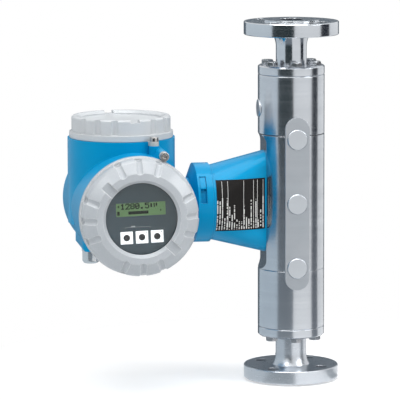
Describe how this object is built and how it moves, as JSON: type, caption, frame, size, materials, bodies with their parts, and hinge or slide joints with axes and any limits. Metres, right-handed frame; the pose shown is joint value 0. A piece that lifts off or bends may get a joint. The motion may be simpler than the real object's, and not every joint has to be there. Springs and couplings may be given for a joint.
{
  "type": "coriolis flow meter",
  "caption": "Straight-tube coriolis flow meter with flanged ends, bolted steel barrel, cast neck, and a swivelling blue transmitter head with round display and screwed covers.",
  "frame": {"origin": "centre of the lower flange sealing face", "axes": "+Z along the pipe to the upper flange, -X to the transmitter head, -Y to the display"},
  "size_m": [0.3298, 0.211, 0.44],
  "materials": {
    "steel": "satin turned stainless steel",
    "steel_plate": "fine ground stainless steel",
    "bolt_steel": "bright zinc",
    "splitter_steel": "machined",
    "tube_steel": "drawn tube",
    "copper": "wound coil",
    "magnet": "nickel plated",
    "ceramic": "ceramic",
    "gold": "gold plated pins in glass",
    "black": "soft black rubber",
    "blue": "semi-gloss powder coat",
    "plate_black": "satin printed foil",
    "cover_grey": "semi-gloss powder coat",
    "screw_steel": "polished",
    "gland_grey": "moulded",
    "board_green": "lacquered board",
    "carrier_white": "moulded",
    "slate": "dark slate film",
    "lcd": "lit display",
    "key_white": "printed field",
    "dark_ring": "black anodised ring",
    "glass": "clear toughened glass"
  },
  "bodies": {
    "sensor": {"lower_flange": "steel", "upper_flange": "steel", "lower_neck": "steel", "upper_neck": "steel", "lower_end_plate": "steel", "upper_end_plate": "steel", "lower_end_bolts": "bolt_steel", "upper_end_bolts": "bolt_steel", "end_seals": "dark_ring", "lower_splitter": "splitter_steel", "upper_splitter": "splitter_steel", "barrel": "steel", "front_plate": "steel_plate", "front_plugs": "steel_plate", "side_plug": "steel_plate", "front_tube": "tube_steel", "rear_tube": "tube_steel", "coupling_plates": "splitter_steel", "exciter_coil": "copper", "exciter_magnet": "magnet", "pickup_coils": "copper", "pickup_magnets": "magnet", "temperature_sensor": "ceramic", "feedthrough": "gold", "signal_loom": "black", "neck_casting": "blue", "nameplate": "plate_black"},
    "catch_ring": {"bayonet_ring": "blue", "securing_screws": "screw_steel"},
    "head": {"transmitter_housing": "blue", "neck_seal": "black", "display_claw_screw": "screw_steel", "terminal_claw_screw": "screw_steel", "gland_bodies": "gland_grey", "gland_nuts": "gland_grey", "gland_seals": "black", "terminal_block": "board_green", "circuit_boards": "board_green", "board_carrier": "carrier_white", "board_spacers": "screw_steel"},
    "display_catch": {"display_claw": "cover_grey"},
    "terminal_catch": {"terminal_claw": "cover_grey"},
    "display_module": {"display_carrier": "dark_ring", "display_face": "slate", "display_lcd": "lcd", "display_keys": "key_white"},
    "display_cover_slide": {"display_cover_seal": "black"},
    "display_cover": {"display_cover": "cover_grey", "display_glass": "glass", "glass_retainer": "dark_ring"},
    "terminal_cover_slide": {"terminal_cover_seal": "black"},
    "terminal_cover": {"terminal_cover": "cover_grey"}
  },
  "joints": [
    {"name": "head_swivel", "type": "hinge", "parent": "sensor", "child": "head", "pos_m": [-0.12, 0, 0.22], "axis": [-1, 0, 0], "range_deg": [-180, 180]},
    {"name": "bayonet_turn", "type": "hinge", "parent": "sensor", "child": "catch_ring", "pos_m": [-0.11, 0, 0.22], "axis": [-1, 0, 0], "range_deg": [0, 20]},
    {"name": "display_catch_turn", "type": "hinge", "parent": "head", "child": "display_catch", "pos_m": [-0.17043, -0.102, 0.28986], "axis": [0, -1, 0], "range_deg": [0, 90]},
    {"name": "terminal_catch_turn", "type": "hinge", "parent": "head", "child": "terminal_catch", "pos_m": [-0.1767, -0.06293, 0.3], "axis": [0, 0, 1], "range_deg": [0, 90]},
    {"name": "display_module_turn", "type": "hinge", "parent": "head", "child": "display_module", "pos_m": [-0.2011, -0.12, 0.22], "axis": [0, -1, 0], "range_deg": [-180, 180]},
    {"name": "display_cover_lift", "type": "slide", "parent": "head", "child": "display_cover_slide", "axis": [0, -1, 0], "range_m": [0, 0.0101]},
    {"name": "display_cover_turn", "type": "hinge", "parent": "display_cover_slide", "child": "display_cover", "pos_m": [-0.2011, -0.11, 0.22], "axis": [0, -1, 0], "range_deg": [0, 1800]},
    {"name": "terminal_cover_lift", "type": "slide", "parent": "head", "child": "terminal_cover_slide", "axis": [0, 0, 1], "range_m": [0, 0.0081]},
    {"name": "terminal_cover_turn", "type": "hinge", "parent": "terminal_cover_slide", "child": "terminal_cover", "pos_m": [-0.2078, 0, 0.312], "axis": [0, 0, 1], "range_deg": [0, 1440]}
  ],
  "couplings": [
    {"joint": "display_cover_lift", "follows": "display_cover_turn", "m_per_rad": 0.00031831},
    {"joint": "terminal_cover_lift", "follows": "terminal_cover_turn", "m_per_rad": 0.00031831}
  ]
}
